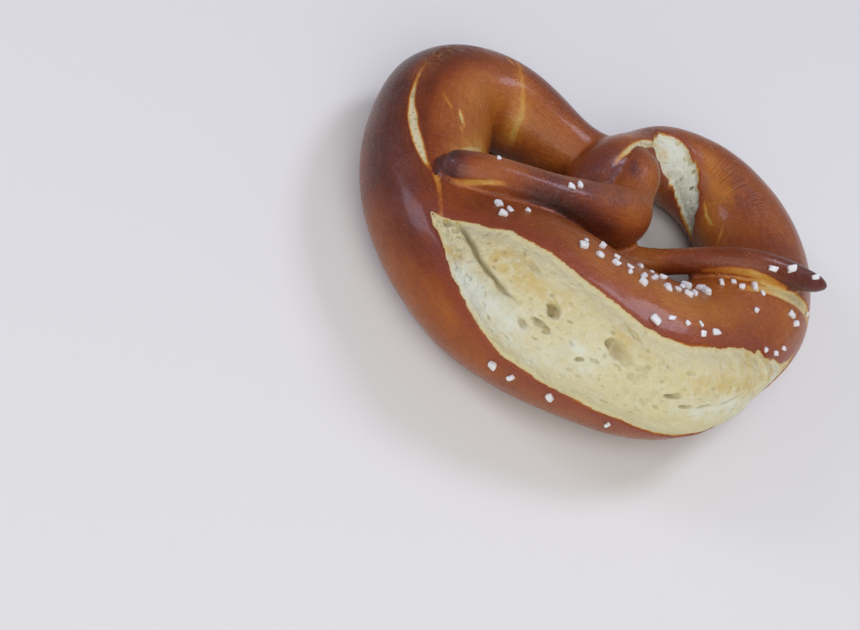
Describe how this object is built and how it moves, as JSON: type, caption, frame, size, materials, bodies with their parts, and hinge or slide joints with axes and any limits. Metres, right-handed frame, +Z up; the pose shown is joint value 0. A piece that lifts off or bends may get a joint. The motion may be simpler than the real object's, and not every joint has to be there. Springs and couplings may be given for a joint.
{
  "type": "soft pretzel",
  "caption": "Soft lye pretzel: a knotted rope of bread with a thick burst belly, brown crust, thin crossed arms and coarse salt.",
  "frame": {"origin": "on the table under the middle of the footprint", "axes": "+Z up, -Y towards the thick belly, +Y towards the loops, +X to the right as seen from the belly's side"},
  "size_m": [0.1506, 0.126, 0.0443],
  "materials": {
    "crust": "satin to glossy chestnut-brown baked crust",
    "crumb": "matte cream bread crumb with toasted patches",
    "salt": "white coarse salt grains"
  },
  "bodies": {
    "root": {"pretzel": "crust"}
  },
  "joints": []
}
